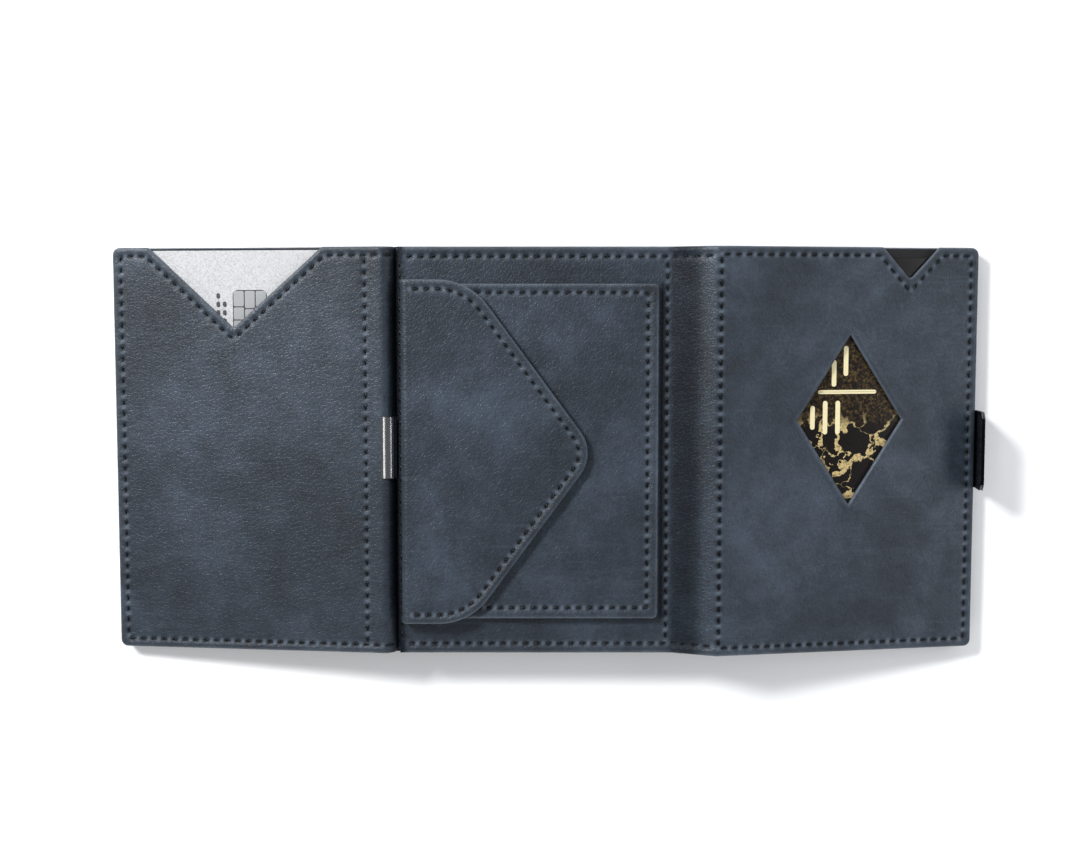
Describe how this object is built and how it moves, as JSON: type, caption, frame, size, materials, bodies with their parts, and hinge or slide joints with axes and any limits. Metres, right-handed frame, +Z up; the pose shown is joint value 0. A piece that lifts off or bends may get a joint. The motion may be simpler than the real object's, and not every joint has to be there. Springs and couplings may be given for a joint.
{
  "type": "trifold wallet",
  "caption": "Trifold leather wallet lying open: pocket panels with bank cards either side of a flapped coin pocket, and a steel clip-and-hook lock.",
  "frame": {"origin": "middle of the open wallet's footprint, on the table", "axes": "+X from the left panel to the right panel, +Y up the panels towards the pocket mouths, +Z up from the table"},
  "size_m": [0.1984, 0.092, 0.0142],
  "materials": {
    "slate_leather": "waxed pull-up leather, satin",
    "black_lining": "woven lining, matte",
    "board": "fibre board",
    "silver_card": "silver laminate with fine sparkle",
    "dark_card": "dark laminate with gold veins",
    "chip_contacts": "plated contacts",
    "polished_steel": "polished stainless steel",
    "snap_steel": "plated steel"
  },
  "bodies": {
    "center": {"centre_outer_shell": "slate_leather", "centre_lining": "black_lining", "centre_inner_panel": "slate_leather", "coin_pocket_lining": "black_lining", "coin_pocket_gusset": "slate_leather", "coin_pocket_front": "slate_leather", "flap_root_strip": "slate_leather", "snap_stud": "snap_steel"},
    "flap_riser": {"flap_riser": "slate_leather"},
    "coin_flap": {"flap_outer": "slate_leather", "flap_lining": "slate_leather", "snap_socket": "snap_steel"},
    "left_panel": {"left_outer_shell": "slate_leather", "left_lining": "black_lining", "left_pocket_spacer": "slate_leather", "left_pocket_front": "slate_leather", "spine_stiffener": "board", "spine_clip": "polished_steel"},
    "left_card": {"left_card_body": "silver_card", "left_card_chip": "chip_contacts"},
    "right_spine": {"right_spine_outer": "slate_leather", "right_spine_inner": "slate_leather"},
    "right_panel": {"right_outer_shell": "slate_leather", "right_lining": "black_lining", "right_pocket_spacer": "slate_leather", "right_pocket_front": "slate_leather", "locking_hook": "polished_steel"},
    "right_card": {"right_card_body": "dark_card"}
  },
  "joints": [
    {"name": "left_fold", "type": "hinge", "parent": "center", "child": "left_panel", "pos_m": [-0.03318, 0, 0.00785], "axis": [0, -1, 0], "range_deg": [0, 171.5]},
    {"name": "right_fold", "type": "hinge", "parent": "center", "child": "right_spine", "pos_m": [0.02802, 0, 0.0093], "axis": [0, -1, 0], "range_deg": [0, 78.1]},
    {"name": "right_panel_fold", "type": "hinge", "parent": "right_spine", "child": "right_panel", "pos_m": [0.03664, 0, 0.01278], "axis": [0, -1, 0], "range_deg": [0, 114.31]},
    {"name": "flap_root_bend", "type": "hinge", "parent": "center", "child": "flap_riser", "pos_m": [-0.03228, 0, 0.0111], "axis": [0, 1, 0], "range_deg": [-25, 0]},
    {"name": "coin_flap_hinge", "type": "hinge", "parent": "flap_riser", "child": "coin_flap", "pos_m": [-0.03228, 0, 0.01355], "axis": [0, 1, 0], "range_deg": [-150, 0]},
    {"name": "left_card_slide", "type": "slide", "parent": "left_panel", "child": "left_card", "axis": [0, 1, 0], "range_m": [0, 0.08]},
    {"name": "right_card_slide", "type": "slide", "parent": "right_panel", "child": "right_card", "axis": [0, 1, 0], "range_m": [0, 0.08]}
  ],
  "couplings": [
    {"joint": "right_fold", "follows": "left_fold", "ratio": 0.45481},
    {"joint": "right_panel_fold", "follows": "left_fold", "ratio": 0.66595}
  ]
}
